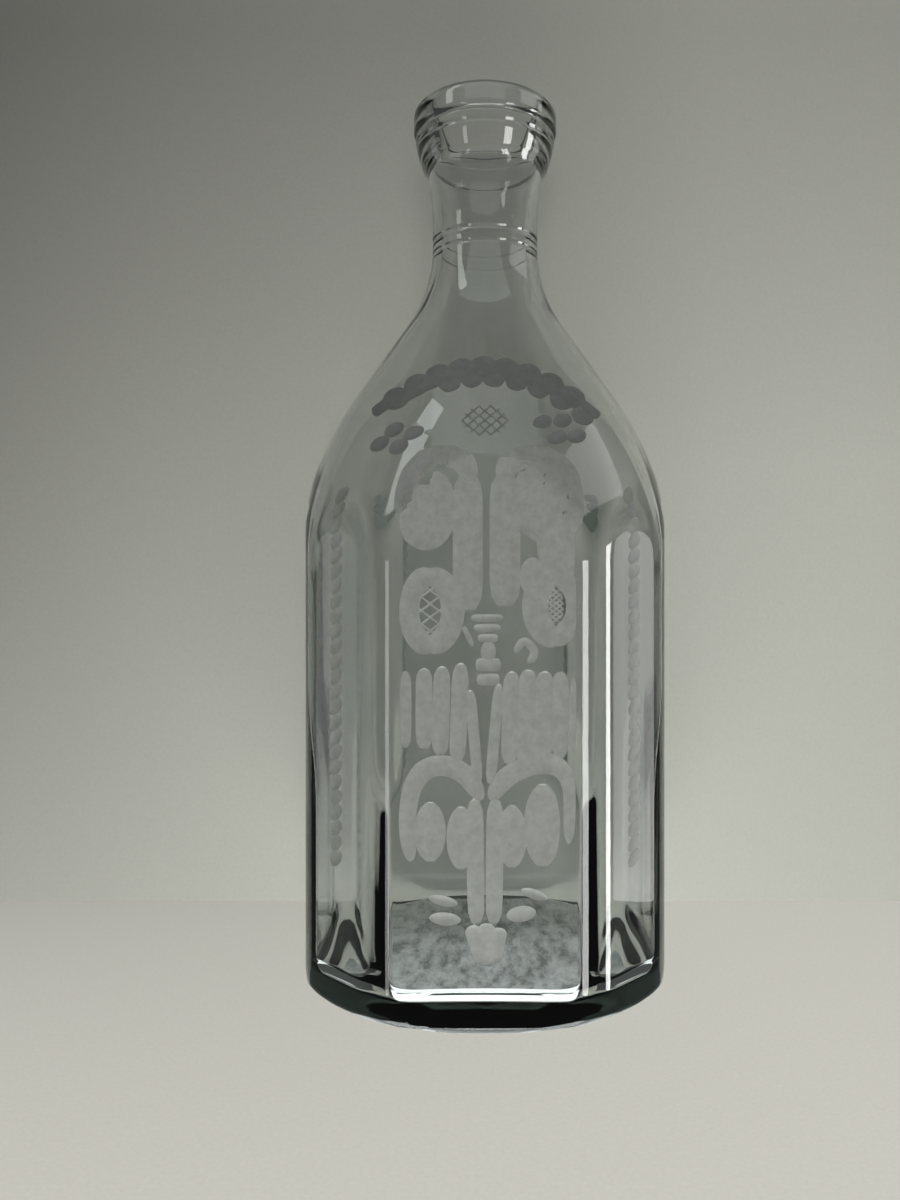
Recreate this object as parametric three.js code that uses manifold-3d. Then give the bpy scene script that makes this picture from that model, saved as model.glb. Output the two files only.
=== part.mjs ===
// Panelled glass flask: a blown body with eight cut panels, a drawn neck and a lip made of two applied rings.
// Millimetres, +Z up, origin at the centre of the foot, front panel towards -Y.
import * as THREE from "three";
import { mergeVertices } from "three/addons/utils/BufferGeometryUtils.js";
import Module from "manifold-3d";

const wasm = await Module();
wasm.setup();

// Body: four wide panels with four narrower ones between them, cut into a round blown body
const PANEL_SPAN = 86.4; // from the front panel to the back panel, and from side to side
const WIDE_PANEL = 48; // width of the front, back and side panels up to where their planes meet the narrower ones
const EDGE_FACET = 6.5; // width of the narrow facet along each edge between two panels
const BODY_HEIGHT = 91.6; // from the foot to where the shoulder starts to turn in
const PANEL_WALL = 3; // glass behind the panels
const EDGE_WALL = 6; // glass behind the edges, and in the lower shoulder

// Foot
const FLOOR_THICKNESS = 5.4;
const FOOT_ROUND = 7; // rounding under the edges
const FOOT_BEVEL = 1.2; // bevel under the panels
const FLOOR_ROUND = 6; // rounding inside, where the wall meets the floor
const PONTIL_RADIUS = 17; // ground hollow under the foot
const PONTIL_DEPTH = 0.5;

// Shoulder: an outward arc, a cone and an inward arc
const SHOULDER_RADIUS = 95;
const SHOULDER_ANGLE = THREE.MathUtils.degToRad(35); // of the cone, from the flask's axis
const NECK_FILLET = 36;

// Neck
const NECK_RADIUS = 13.65; // at the narrowest
const NECK_WALL = 2.9;
const NECK_STRAIGHT = 5; // length of the narrowest part
const FLARE_LENGTH = 15.6;
const GROOVE_COUNT = 2; // cut rings round the narrowest part
const GROOVE_PITCH = 3.5;
const GROOVE_DROP = 2; // how far the lowest one lies under the narrowest part
const GROOVE_WIDTH = 1.1;
const GROOVE_DEPTH = 0.4;

// Lip: two rings of glass laid round the mouth, the string ring below the lip ring
const MOUTH_RADIUS = 15.3; // outside of the neck under the rings
const RIM_ROUND = 1.2; // rounding of the neck's upper edge
const RING_GAP = 0.3; // between the neck and the rings
const STRING_RING_HEIGHT = 8.3;
const STRING_RING_FOOT = 0.5; // how far the string ring stands out where it starts
const STRING_RING_TOP = 2.4; // and where it ends
const LIP_RING_HEIGHT = 7;
const LIP_RING_WIDTH = 2.9;
const LIP_RING_ROUND = 2.6; // rounding of its upper outer edge
const LIP_RING_UNDERCUT = 0.7; // rounding of its lower outer edge

// Facets
const SEGMENTS = 48; // round the axis
const FACET_TOLERANCE = 0.1; // how far an arc's facets stay inside it
const BEVEL_STEPS = 2;
const GROOVE_FACETS = 8;
const SAME_POINT = 1e-6;

const UP = Math.PI / 2;

const apothem = PANEL_SPAN / 2;
const bodyRadius = Math.hypot(apothem, WIDE_PANEL / 2);
const neckBottom = shoulderTop(bodyRadius, NECK_RADIUS, SHOULDER_RADIUS, NECK_FILLET);
const flareBottom = neckBottom + NECK_STRAIGHT;
const lipBottom = flareBottom + FLARE_LENGTH;
const stringRingTop = lipBottom + STRING_RING_HEIGHT;
const height = stringRingTop + LIP_RING_HEIGHT;

// Height at which the shoulder's inward arc reaches the neck
function shoulderTop(radius, neck, outwardArc, inwardArc) {
  const arcs = outwardArc + inwardArc;
  const cone = (radius - neck - arcs * (1 - Math.cos(SHOULDER_ANGLE))) / Math.tan(SHOULDER_ANGLE);
  return BODY_HEIGHT + arcs * Math.sin(SHOULDER_ANGLE) + cone;
}

// Points along an arc of a profile, close enough together to keep to the facet tolerance
function arc(x, z, radius, from, to) {
  const step = 2 * Math.acos(1 - FACET_TOLERANCE / radius);
  const steps = Math.ceil(Math.abs(to - from) / step);
  return Array.from({ length: steps + 1 }, (_, i) => {
    const angle = from + ((to - from) * i) / steps;
    return new THREE.Vector2(x + radius * Math.cos(angle), z + radius * Math.sin(angle));
  });
}

// From the body's wall over the shoulder to the neck
function shoulder(radius, neck, outwardArc, inwardArc) {
  const top = shoulderTop(radius, neck, outwardArc, inwardArc);
  return [
    ...arc(radius - outwardArc, BODY_HEIGHT, outwardArc, 0, SHOULDER_ANGLE),
    ...arc(neck + inwardArc, top, inwardArc, Math.PI + SHOULDER_ANGLE, Math.PI),
  ];
}

// Radius of the arc that leaves an upright line and widens by so much over its height
function flareRadius(rise, widening) {
  return (rise ** 2 + widening ** 2) / (2 * widening);
}

// From the narrowest part of the neck to the mouth
function flare(neck, mouth) {
  const radius = flareRadius(FLARE_LENGTH, mouth - neck);
  return arc(neck + radius, flareBottom, radius, Math.PI, Math.PI - Math.asin(FLARE_LENGTH / radius));
}

// Ground hollow under the foot, from the axis outwards
function pontilHollow() {
  const radius = flareRadius(PONTIL_RADIUS, PONTIL_DEPTH);
  return arc(0, PONTIL_DEPTH - radius, radius, UP, UP - Math.asin(PONTIL_RADIUS / radius));
}

// Outside of the blown glass, from the pontil mark up to the rim and back to the axis
function outsideProfile() {
  return [
    ...pontilHollow(),
    ...arc(bodyRadius - FOOT_ROUND, FOOT_ROUND, FOOT_ROUND, -UP, 0),
    ...shoulder(bodyRadius, NECK_RADIUS, SHOULDER_RADIUS, NECK_FILLET),
    ...flare(NECK_RADIUS, MOUTH_RADIUS),
    ...arc(MOUTH_RADIUS - RIM_ROUND, height - RIM_ROUND, RIM_ROUND, 0, UP),
    new THREE.Vector2(0, height),
  ];
}

// Hollow of the flask, from the floor up and out through the mouth
function insideProfile() {
  const radius = bodyRadius - EDGE_WALL;
  const bore = NECK_RADIUS - NECK_WALL;
  const mouth = MOUTH_RADIUS - NECK_WALL;
  const above = height + RIM_ROUND;
  return [
    new THREE.Vector2(0, FLOOR_THICKNESS),
    ...arc(radius - FLOOR_ROUND, FLOOR_THICKNESS + FLOOR_ROUND, FLOOR_ROUND, -UP, 0),
    ...shoulder(radius, bore, SHOULDER_RADIUS - EDGE_WALL, NECK_FILLET + NECK_WALL),
    ...flare(bore, mouth),
    ...arc(mouth + RIM_ROUND, height - RIM_ROUND, RIM_ROUND, Math.PI, UP),
    new THREE.Vector2(mouth + RIM_ROUND, above),
    new THREE.Vector2(0, above),
  ];
}

// Lower ring, a band that widens upwards from the neck
function stringRingProfile() {
  const inner = MOUTH_RADIUS + RING_GAP;
  const outer = inner + STRING_RING_TOP;
  const radius = flareRadius(STRING_RING_HEIGHT, STRING_RING_TOP - STRING_RING_FOOT);
  return [
    new THREE.Vector2(inner, lipBottom),
    ...arc(outer - radius, stringRingTop, radius, -Math.asin(STRING_RING_HEIGHT / radius), 0),
    new THREE.Vector2(inner, stringRingTop),
    new THREE.Vector2(inner, lipBottom),
  ];
}

// Upper ring, which makes the rounded rim with the neck's own edge
function lipRingProfile() {
  const inner = MOUTH_RADIUS + RING_GAP;
  const outer = inner + LIP_RING_WIDTH;
  const undercut = stringRingTop + LIP_RING_UNDERCUT;
  return [
    new THREE.Vector2(inner, stringRingTop),
    ...arc(outer - LIP_RING_UNDERCUT, undercut, LIP_RING_UNDERCUT, -UP, 0),
    ...arc(outer - LIP_RING_ROUND, height - LIP_RING_ROUND, LIP_RING_ROUND, 0, UP),
    new THREE.Vector2(inner, height),
    new THREE.Vector2(inner, stringRingTop),
  ];
}

// Solid of revolution; points that fall together where two stretches of the profile join count once
function revolve(profile) {
  const apart = profile.filter((point, i) => i === 0 || point.distanceTo(profile[i - 1]) > SAME_POINT);
  return new THREE.LatheGeometry(apart, SEGMENTS).rotateX(UP);
}

// Plan of the panels moved in by a wall, each edge between two panels cut back by a narrow facet
function panelPlan(wall, facet) {
  const flat = apothem - wall;
  const halfPanel = WIDE_PANEL / 2 - wall * (Math.SQRT2 - 1);
  const leg = facet / (2 * Math.cos(Math.PI / 8));
  const along = leg / Math.SQRT2;
  const quarter = [
    new THREE.Vector2(halfPanel - leg, -flat),
    new THREE.Vector2(halfPanel + along, along - flat),
    new THREE.Vector2(flat - along, -halfPanel - along),
    new THREE.Vector2(flat, leg - halfPanel),
  ];
  const centre = new THREE.Vector2();
  const corners = [0, 1, 2, 3].flatMap((turn) =>
    quarter.map((corner) => corner.clone().rotateAround(centre, turn * UP)),
  );
  return new THREE.Shape(corners);
}

// Upright prism on a plan of the panels, bevelled at its ends and taller than the panels
function panelPrism(plan, bottom, bevel) {
  const prism = new THREE.ExtrudeGeometry(plan, {
    depth: height - bottom,
    bevelThickness: bevel,
    bevelSize: bevel,
    bevelOffset: -bevel,
    bevelSegments: BEVEL_STEPS,
  });
  return prism.translate(0, 0, bottom + bevel);
}

// Rounded groove round the neck
function neckGroove(z) {
  const round = flareRadius(GROOVE_WIDTH / 2, GROOVE_DEPTH);
  const groove = new THREE.TorusGeometry(NECK_RADIUS + round - GROOVE_DEPTH, round, GROOVE_FACETS, SEGMENTS);
  return groove.translate(0, 0, z);
}

function solid(geometry) {
  const bare = geometry.clone();
  bare.deleteAttribute("normal");
  bare.deleteAttribute("uv");
  const merged = mergeVertices(bare);
  return new wasm.Manifold(
    new wasm.Mesh({
      numProp: 3,
      vertProperties: merged.attributes.position.array,
      triVerts: new Uint32Array(merged.index.array),
    }),
  );
}

function geometryOf(manifold) {
  const mesh = manifold.getMesh();
  const geometry = new THREE.BufferGeometry();
  geometry.setAttribute("position", new THREE.BufferAttribute(mesh.vertProperties, 3));
  geometry.setIndex(new THREE.BufferAttribute(mesh.triVerts, 1));
  geometry.computeVertexNormals();
  return geometry;
}

function glass() {
  return new THREE.MeshStandardMaterial({
    color: 0xd9e2de,
    roughness: 0.05,
    metalness: 0,
    transparent: true,
    opacity: 0.35,
  });
}

function flaskBody() {
  const panels = panelPrism(panelPlan(0, EDGE_FACET), 0, FOOT_BEVEL);
  const inner = panelPrism(panelPlan(PANEL_WALL, EDGE_FACET), FLOOR_THICKNESS, FLOOR_ROUND / 2);
  const outside = solid(revolve(outsideProfile())).intersect(solid(panels));
  const hollow = solid(revolve(insideProfile())).intersect(solid(inner));
  const grooves = Array.from({ length: GROOVE_COUNT }, (_, i) =>
    solid(neckGroove(neckBottom - GROOVE_DROP + i * GROOVE_PITCH)),
  );
  return geometryOf(grooves.reduce((glassLeft, groove) => glassLeft.subtract(groove), outside.subtract(hollow)));
}

function part(name, geometry) {
  const mesh = new THREE.Mesh(geometry, glass());
  mesh.name = name;
  return mesh;
}

const flask = new THREE.Group();
flask.add(part("flask_body", flaskBody()));
flask.add(part("string_ring", revolve(stringRingProfile())));
flask.add(part("lip_ring", revolve(lipRingProfile())));

export default flask;
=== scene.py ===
import math

import bmesh
import bpy
import numpy as np
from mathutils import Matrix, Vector


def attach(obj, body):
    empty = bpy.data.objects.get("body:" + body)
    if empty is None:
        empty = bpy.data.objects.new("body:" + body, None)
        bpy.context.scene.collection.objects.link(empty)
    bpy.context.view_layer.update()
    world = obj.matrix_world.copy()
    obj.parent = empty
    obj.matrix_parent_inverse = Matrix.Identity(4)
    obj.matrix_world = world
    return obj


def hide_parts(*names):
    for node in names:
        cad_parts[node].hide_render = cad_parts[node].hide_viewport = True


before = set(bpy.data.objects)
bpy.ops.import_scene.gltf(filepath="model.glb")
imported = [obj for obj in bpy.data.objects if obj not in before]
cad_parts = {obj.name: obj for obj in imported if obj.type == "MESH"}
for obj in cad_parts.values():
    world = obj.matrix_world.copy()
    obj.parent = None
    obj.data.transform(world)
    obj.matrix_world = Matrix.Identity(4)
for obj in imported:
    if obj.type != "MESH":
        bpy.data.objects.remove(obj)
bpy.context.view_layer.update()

# Sizes of the flask are in millimetres, as in the solids; the scene is in metres
MM = 0.001

# Body
PANELS = 8
PANEL_SPAN = 86.4
WIDE_PANEL = 48.0
EDGE_FACET = 6.5
BODY_HEIGHT = 91.6

# Thickness of the glass, with the heights between which it changes
PANEL_WALL = 3.0
NARROW_WALL = 4.6
SIDE_WALL_BELOW = 5.4
SIDE_WALL_ABOVE = 3.4
SIDE_WALL_CHANGE = (45.0, 75.0)
EDGE_WALL = 4.0
SHOULDER_CHANGE = (96.0, 123.0)
HOLLOW_OVAL = 2.2
HOLLOW_OVAL_CHANGE = (45.0, 58.0)

# Unevenness of the blown inside
UNEVEN_DEPTH = 0.1
UNEVEN_SEED = 4
UNEVEN_TURNS = (3, 5, 8, 11, 15, 19, 24)
UNEVEN_LEAN = 0.02
UNEVEN_SWELL = 0.6
UNEVEN_PACE = (0.02, 0.06)

# Foot
FLOOR_THICKNESS = 4.4
FLOOR_ROUND = 6.6
FLOOR_CORNER_BLEND = 2.0
FOOT_ROUND = 7.0
FOOT_SIDE_ROUND = 2.4
FOOT_BEVEL = 0.63
FOOT_BEVEL_HEIGHT = 1.35
PONTIL_RADIUS = 17.0
PONTIL_DEPTH = 0.5
FILM_GAP = 0.05

# Shoulder and neck
SHOULDER_RADIUS = 95.0
SHOULDER_ANGLE = math.radians(35)
NECK_FILLET = 36.0
NECK_RADIUS = 13.65
NECK_WALL = 2.9
NECK_STRAIGHT = 5.0
FLARE_LENGTH = 15.6
GROOVES = 2
GROOVE_PITCH = 3.5
GROOVE_DROP = 2.0
GROOVE_WIDTH = 1.1
GROOVE_DEPTH = 0.22

# Lip
MOUTH_RADIUS = 15.3
MOUTH_BORE = 13.4
STRING_RING_HEIGHT = 8.3
STRING_RING_FOOT = 0.8
STRING_RING_TOP = 2.7
STRING_GROOVE_HEIGHT = 5.3
STRING_GROOVE_WIDTH = 0.9
STRING_GROOVE_DEPTH = 0.25
SEAM_WIDTH = 1.3
SEAM_DEPTH = 0.5
SEAM_RISE = 1.2
LIP_RING_HEIGHT = 7.0
LIP_RING_WIDTH = 3.2
LIP_ROUND = 2.8
LIP_INNER_ROUND = 1.3

# Cuts of the wheel: depth at most and as a share of the width, reach above the skin and past the edges
CUT_DEPTH = 0.16
CUT_DEPTH_SHARE = 0.16
CUT_LIFT = 0.35
CUT_OVERRUN = 1.2
CUT_SECTION = 7
CUT_STEPS = 11
SLOPE_STEP = 0.01

# Ends of the cuts: width of the tip as a share, and a higher figure for blunter ends
CUT_TIP = 0.15
OVAL_END = 2.0
STROKE_END = 8.0

# Ornament
LATTICE_WIDTH = 0.5
LATTICE_SPREAD = 0.75
RING_STARTS = (80, 260)
RING_SWEEP = 200
RING_POINTS = 9
FESTOON_TOP = 146.3
FESTOON_BEND = 0.0164
FESTOON_SIDES = (-20.4, 19.9)
FESTOON_OVALS = 9
FESTOON_LEAN = -0.7
FESTOON_UPPER_OVAL = (6.0, 6.6)
FESTOON_LOWER_OVAL = (4.8, 5.6)
FESTOON_LOWER_FIRST = 2
FESTOON_LOWER_SHIFT = 2.3
FESTOON_LOWER_DROP = 3.0
FESTOON_BAND_SIDES = (-22, 22)
FESTOON_BAND_POINTS = 9
FESTOON_BAND_DROP = 1.0
FESTOON_BAND_WIDTH = 4.2
PETAL_PLACES = ((-4.1, 0), (4.1, 0), (-0.1, 2.2), (0.1, -2.2))
PETAL_LENGTH = 4.8
PETAL_WIDTH = 3.5
PETAL_LEAN = 65
ROPE_TOP = 117.0
ROPE_BOTTOM = 33.0
ROPE_PITCH = 3.4
ROPE_CUT_LENGTH = 5.0
ROPE_CUT_WIDTH = 3.5
ROPE_CUT_LEAN = 52

# Directions of the points round the skin, closer together at the edges between the panels
FLAT_STEPS = 5
EDGE_STEPS = 18
EDGE_FROM = math.radians(24)
EDGE_TO = math.radians(34.5)

# Softness of the edges, and how far from its own direction a flat side counts
PANEL_BLEND = 0.35
FACET_BLEND = 1.2
SIDE_COSINE = 0.5

# Rows of points up the skin
PONTIL_ROWS = 9
FLAT_ROWS = 6
BEVEL_HOLD = 0.06
FOOT_ROWS_FROM = 2.0
FOOT_ROWS = 6
WALL_ROWS = 20
SHOULDER_ROWS = 58
NECK_ROWS_DROP = 4.0
NECK_ROWS = 40
FLARE_ROWS = 16
STRING_ROWS = 24
LIP_ROWS_RISE = 0.15
LIP_SIDE_ROWS = 10
LIP_ROUND_ROWS = 12
LIP_INNER_ROWS = 10
BORE_ROWS_DROP = 1.6
BORE_ROWS = 14
HOLLOW_ROWS = 62
FLOOR_ROUND_ROWS = 10
FLOOR_ROWS = 10

# Glass
GLASS_COLOUR = (0.985, 0.995, 0.99, 1)
GLASS_REFRACTION = 1.5
THICK_COLOUR = (0.28, 0.36, 0.34, 1)
THICK_DENSITY = 45
PASSING_GREEN = 1.01
CLEAR_PASSING = 0.79
SMUDGE_STRETCH = (1, 1, 0.4)
SMUDGE_SCALE = 60
SMUDGE_TONES = ((0.95, 0.965, 0.955, 1), (1, 1, 1, 1))
GROUND_TRANSMISSION = 0.5
GROUND_ROUGHNESS = (0.38, 0.62)
GROUND_GRAIN_SCALE = 1800
GROUND_GRAIN_DETAIL = 3
GROUND_PATCH_SCALE = 420
# Painted shade: a darker copy of the ground glass for the shoulder cuts, which face away from the light
PAINTED_SHADE_GROUND_TONES = ((0.3, 0.31, 0.29, 1), (0.38, 0.39, 0.365, 1))
GROUND_TONES = ((0.46, 0.47, 0.435, 1), (0.59, 0.6, 0.56, 1))
FILM_PASSING = 0.15
FILM_TRANSMISSION = 0.75
FILM_ROUGHNESS = 0.6
FILM_STRETCH = (1, 0.35, 1)
FILM_SCALE = 380
FILM_TONES = ((0.02, 0.021, 0.02, 1), (0.19, 0.192, 0.184, 1))
PATCH_DETAIL = 6
PATCH_ROUGHNESS = 0.7
PATCH_EDGES = (0.38, 0.62)

# Paper of the stage, in metres; its tones start at the line where floor and backdrop meet, and are painted
# light, darker towards the top left
STAGE_SIDES = (-0.15, 0.07)
FLOOR_REACH = 2
FLOOR_FRONT = -0.1
# The floor glows with this share of its tone, as painted light
FLOOR_GLOW_SHARE = 0.88
# Pale paper with painted light on the floor, from the backdrop to the front: lighter towards the front and
# the right
FLOOR_LEFT_PAINTED_LIGHT = (0.445, 0.6)
FLOOR_RIGHT_PAINTED_LIGHT = (0.575, 0.65)
BACKDROP_GAP = 0.0006
BACKDROP_SIDES = (-0.155, 0.135)
BACKDROP_ENDS = (-0.04, 0.33)
BACKDROP_TONE_ENDS = (0.0, 0.267)
# The backdrop glows with this share of its tone, as painted light
BACKDROP_GLOW_SHARE = 0.03
# Pale paper with painted light on the backdrop, from the bottom up: darker towards the top and the left
BACKDROP_LEFT_PAINTED_LIGHT = (0.47, 0.325, 0.195)
BACKDROP_RIGHT_PAINTED_LIGHT = (0.6, 0.62, 0.458)
PAPER_GRAIN = (0.93, 1.05)
PAPER_GRAIN_SCALE = 1100
PAPER_GRAIN_DETAIL = 2
PAPER_ROUGHNESS = 0.9
PAPER_GLOSS = 0.1
PAPER_WARMTH = (1.01, 1, 0.95)

# Light
WHITE = (1, 1, 1)
COOL = (0.95, 1, 1)
CEILING_COLOUR = (0.97, 1, 0.99)
SOFT_COLOUR = (0.98, 1, 0.98)
BODY_MIDDLE = (0, 0, 0.09)
ROOM_COLOUR = (0.96, 1, 0.98, 1)
ROOM_FROM_BELOW = 0.5
ROOM_FROM_ABOVE = 0.06
ROOM_TURN = (-0.75, -0.35)
ROOM_THROUGH_FRONT = 1.15
ROOM_THROUGH_BACK = 0.25
ROOM_ON_GLASS = 0.25

# Places of the colour sockets on a mix node
FIRST_COLOUR = 6
SECOND_COLOUR = 7
MIXED_COLOUR = 2

# Camera: sensor in millimetres, the picture's own sizes in pixels, places in metres
SENSOR = 36
PICTURE_HEIGHT = 1200
FOCAL_PIXELS = 950
SHIFT_PIXELS = (-35, -12)
CAMERA_DISTANCE = 0.2475
CAMERA_HEIGHT = 0.0961
CAMERA_CLIP = 0.005

# Sizes that follow
PANEL_TURN = 2 * math.pi / PANELS
APOTHEM = PANEL_SPAN / 2
CORNER_APOTHEM = (APOTHEM + WIDE_PANEL / 2) / math.sqrt(2)
BODY_RADIUS = math.hypot(APOTHEM, WIDE_PANEL / 2)
SHOULDER_ARCS = SHOULDER_RADIUS + NECK_FILLET
CONE_RUN = BODY_RADIUS - NECK_RADIUS - SHOULDER_ARCS * (1 - math.cos(SHOULDER_ANGLE))
CONE_RISE = CONE_RUN / math.tan(SHOULDER_ANGLE)
NECK_BOTTOM = BODY_HEIGHT + SHOULDER_ARCS * math.sin(SHOULDER_ANGLE) + CONE_RISE
CONE_BOTTOM = BODY_HEIGHT + SHOULDER_RADIUS * math.sin(SHOULDER_ANGLE)
CONE_TOP = NECK_BOTTOM - NECK_FILLET * math.sin(SHOULDER_ANGLE)
FLARE_BOTTOM = NECK_BOTTOM + NECK_STRAIGHT
LIP_BOTTOM = FLARE_BOTTOM + FLARE_LENGTH
STRING_TOP = LIP_BOTTOM + STRING_RING_HEIGHT
HEIGHT = STRING_TOP + LIP_RING_HEIGHT
BACKDROP_Y = APOTHEM * MM + BACKDROP_GAP


def linked(name, data):
    """New object in the scene."""
    piece = bpy.data.objects.new(name, data)
    bpy.context.scene.collection.objects.link(piece)
    return piece


# Shape of the skin


def smooth_min(first, second, blend):
    share = np.clip(0.5 + 0.5 * (second - first) / blend, 0, 1)
    return second + (first - second) * share - blend * share * (1 - share)


def body_radius(z):
    """Radius of the round body at a height: wall, outward arc, cone, inward arc, neck."""
    rise = np.clip(z - BODY_HEIGHT, 0, SHOULDER_RADIUS)
    turn = BODY_RADIUS - SHOULDER_RADIUS + np.sqrt(SHOULDER_RADIUS**2 - rise**2)
    cone_start = BODY_RADIUS - SHOULDER_RADIUS * (1 - math.cos(SHOULDER_ANGLE))
    cone = cone_start - (z - CONE_BOTTOM) * math.tan(SHOULDER_ANGLE)
    drop = np.clip(NECK_BOTTOM - z, 0, NECK_FILLET)
    fillet = NECK_RADIUS + NECK_FILLET - np.sqrt(NECK_FILLET**2 - drop**2)
    below = [z < BODY_HEIGHT, z < CONE_BOTTOM, z < CONE_TOP]
    return np.select(below, [np.full_like(z, BODY_RADIUS), turn, cone], fillet)


def flare_radius(z, neck, mouth):
    """Radius that widens along an arc from the neck to the mouth."""
    radius = (FLARE_LENGTH**2 + (mouth - neck) ** 2) / (2 * (mouth - neck))
    rise = np.clip(z - FLARE_BOTTOM, 0, FLARE_LENGTH)
    return neck + radius - np.sqrt(radius**2 - rise**2)


def groove(z, middle, width, depth):
    return depth * np.clip(1 - ((z - middle) / (width / 2)) ** 2, 0, 1)


def neck_grooves(z):
    """Depth of the turned grooves of the neck at a height."""
    middles = [NECK_BOTTOM - GROOVE_DROP + i * GROOVE_PITCH for i in range(GROOVES)]
    return sum(groove(z, middle, GROOVE_WIDTH, GROOVE_DEPTH) for middle in middles)


def flat_sides(angles, distances):
    """Distance from the axis to a plan of flat sides, the first facing along X, the others evenly round."""
    step = 2 * math.pi / len(distances)
    reach = np.full_like(angles, PANEL_SPAN)
    for i, distance in enumerate(distances):
        cosine = np.cos(angles - i * step)
        side = np.where(cosine > SIDE_COSINE, distance / np.maximum(cosine, SIDE_COSINE), PANEL_SPAN)
        reach = smooth_min(reach, side, PANEL_BLEND)
    return reach


def outside_plan(angles):
    """Wide and narrow panels in turn, with a facet at each edge between them."""
    panels = flat_sides(angles, [APOTHEM, CORNER_APOTHEM] * (PANELS // 2))
    half = PANEL_TURN / 2
    leg = EDGE_FACET / (2 * math.cos(half))
    facet = (WIDE_PANEL / 2 - leg) * math.sin(half) + APOTHEM * math.cos(half)
    return smooth_min(panels, flat_sides(angles - half, [facet] * PANELS), FACET_BLEND)


def eased(z, change, below, above):
    """Thickness that passes smoothly from one value to another over a stretch of height."""
    share = min(max((z - change[0]) / (change[1] - change[0]), 0), 1)
    return below + (above - below) * share * share * (3 - 2 * share)


def hollow_plan(angles, z, outside, blend):
    """Plan of the hollow at a height: its panels, rounded off by a slightly oval bubble."""
    side = APOTHEM - eased(z, SIDE_WALL_CHANGE, SIDE_WALL_BELOW, SIDE_WALL_ABOVE)
    narrow = CORNER_APOTHEM - NARROW_WALL
    panels = flat_sides(angles, [side, narrow, APOTHEM - PANEL_WALL, narrow] * 2)
    edge_wall = eased(z, SHOULDER_CHANGE, EDGE_WALL, NECK_WALL)
    body_oval = eased(z, HOLLOW_OVAL_CHANGE, 0, HOLLOW_OVAL)
    bubble = outside - edge_wall - eased(z, SHOULDER_CHANGE, body_oval, 0) * np.sin(angles) ** 2
    return smooth_min(panels, bubble, blend)


def floor_plan(angles):
    """Edge of the flat of the inner floor."""
    blend = PANEL_BLEND + FLOOR_CORNER_BLEND
    return hollow_plan(angles, FLOOR_THICKNESS, BODY_RADIUS, blend) - FLOOR_ROUND


def unevenness(angles, z, depth):
    """Slow waves of blown glass, drawn out along the flask."""
    random = np.random.default_rng(UNEVEN_SEED)
    total = np.zeros(angles.shape)
    for turns in UNEVEN_TURNS:
        phase = random.uniform(0, 2 * math.pi)
        lean = random.uniform(-UNEVEN_LEAN, UNEVEN_LEAN)
        swell = 1 + UNEVEN_SWELL * np.sin(z * random.uniform(*UNEVEN_PACE) + random.uniform(0, 2 * math.pi))
        total = total + np.sin(turns * angles + phase + lean * z) * swell / math.sqrt(turns)
    return total * depth


# Points of the skin


def ring_angles():
    """Directions round the axis, from one wide panel round to it again."""
    flat = np.linspace(0, EDGE_FROM, FLAT_STEPS, endpoint=False)
    edge = np.linspace(EDGE_FROM, EDGE_TO, EDGE_STEPS, endpoint=False)
    rest = np.linspace(EDGE_TO, PANEL_TURN, FLAT_STEPS, endpoint=False)
    half = np.concatenate([flat, edge, rest])
    mirrored = 2 * PANEL_TURN - np.concatenate([half[1:], [PANEL_TURN]])[::-1]
    quarter = np.concatenate([half, mirrored])
    return np.concatenate([quarter + turn * math.pi / 2 for turn in range(4)])


def rounded(plan, radius):
    """Plan of flat sides, cut off at a round radius."""
    return smooth_min(plan, radius, PANEL_BLEND)


def add_underside(add, angles, panels):
    """Out from the pontil mark, a shallow bowl, over the flat of the foot."""
    bowl = (PONTIL_RADIUS**2 + PONTIL_DEPTH**2) / (2 * PONTIL_DEPTH)
    for radius in np.linspace(0, PONTIL_RADIUS, PONTIL_ROWS)[1:]:
        add(radius, PONTIL_DEPTH - bowl + math.sqrt(bowl**2 - radius**2))
    sides = panels - FOOT_BEVEL - FOOT_SIDE_ROUND * np.cos(angles) ** 2
    contact = rounded(sides, BODY_RADIUS - FOOT_ROUND)
    for share in np.linspace(0, 1, FLAT_ROWS)[1:-1]:
        add(PONTIL_RADIUS + (contact - PONTIL_RADIUS) * share, 0)


def add_foot(add, angles, panels):
    """Up the bevel and the rounded foot, with rows close to both edges of the bevel."""
    bevel_rows = [0, BEVEL_HOLD, FOOT_BEVEL_HEIGHT - BEVEL_HOLD, FOOT_BEVEL_HEIGHT + BEVEL_HOLD]
    for z in np.concatenate([bevel_rows, np.linspace(FOOT_ROWS_FROM, FOOT_ROUND, FOOT_ROWS)]):
        bevel = FOOT_BEVEL * max(0, 1 - z / FOOT_BEVEL_HEIGHT)
        round_foot = BODY_RADIUS - FOOT_ROUND + math.sqrt(FOOT_ROUND**2 - (FOOT_ROUND - z) ** 2)
        side = FOOT_SIDE_ROUND * (BODY_RADIUS - round_foot) / FOOT_ROUND * np.cos(angles) ** 2
        add(rounded(panels - bevel - side, round_foot), z)


def add_body(add, panels):
    """Up the wall and the shoulder, where the round body takes over from the panels."""
    wall = np.linspace(FOOT_ROUND, BODY_HEIGHT, WALL_ROWS)[1:]
    shoulder = np.linspace(BODY_HEIGHT, NECK_BOTTOM - NECK_ROWS_DROP, SHOULDER_ROWS)[1:]
    for z in np.concatenate([wall, shoulder]):
        add(rounded(panels, body_radius(z)), z)


def add_neck(add):
    """Up the neck with its turned grooves, and its flare."""
    for z in np.linspace(NECK_BOTTOM - NECK_ROWS_DROP, FLARE_BOTTOM, NECK_ROWS)[1:]:
        add(body_radius(z) - neck_grooves(z), z)
    for z in np.linspace(FLARE_BOTTOM, LIP_BOTTOM, FLARE_ROWS)[1:-1]:
        add(flare_radius(z, NECK_RADIUS, MOUTH_RADIUS), z)


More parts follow.
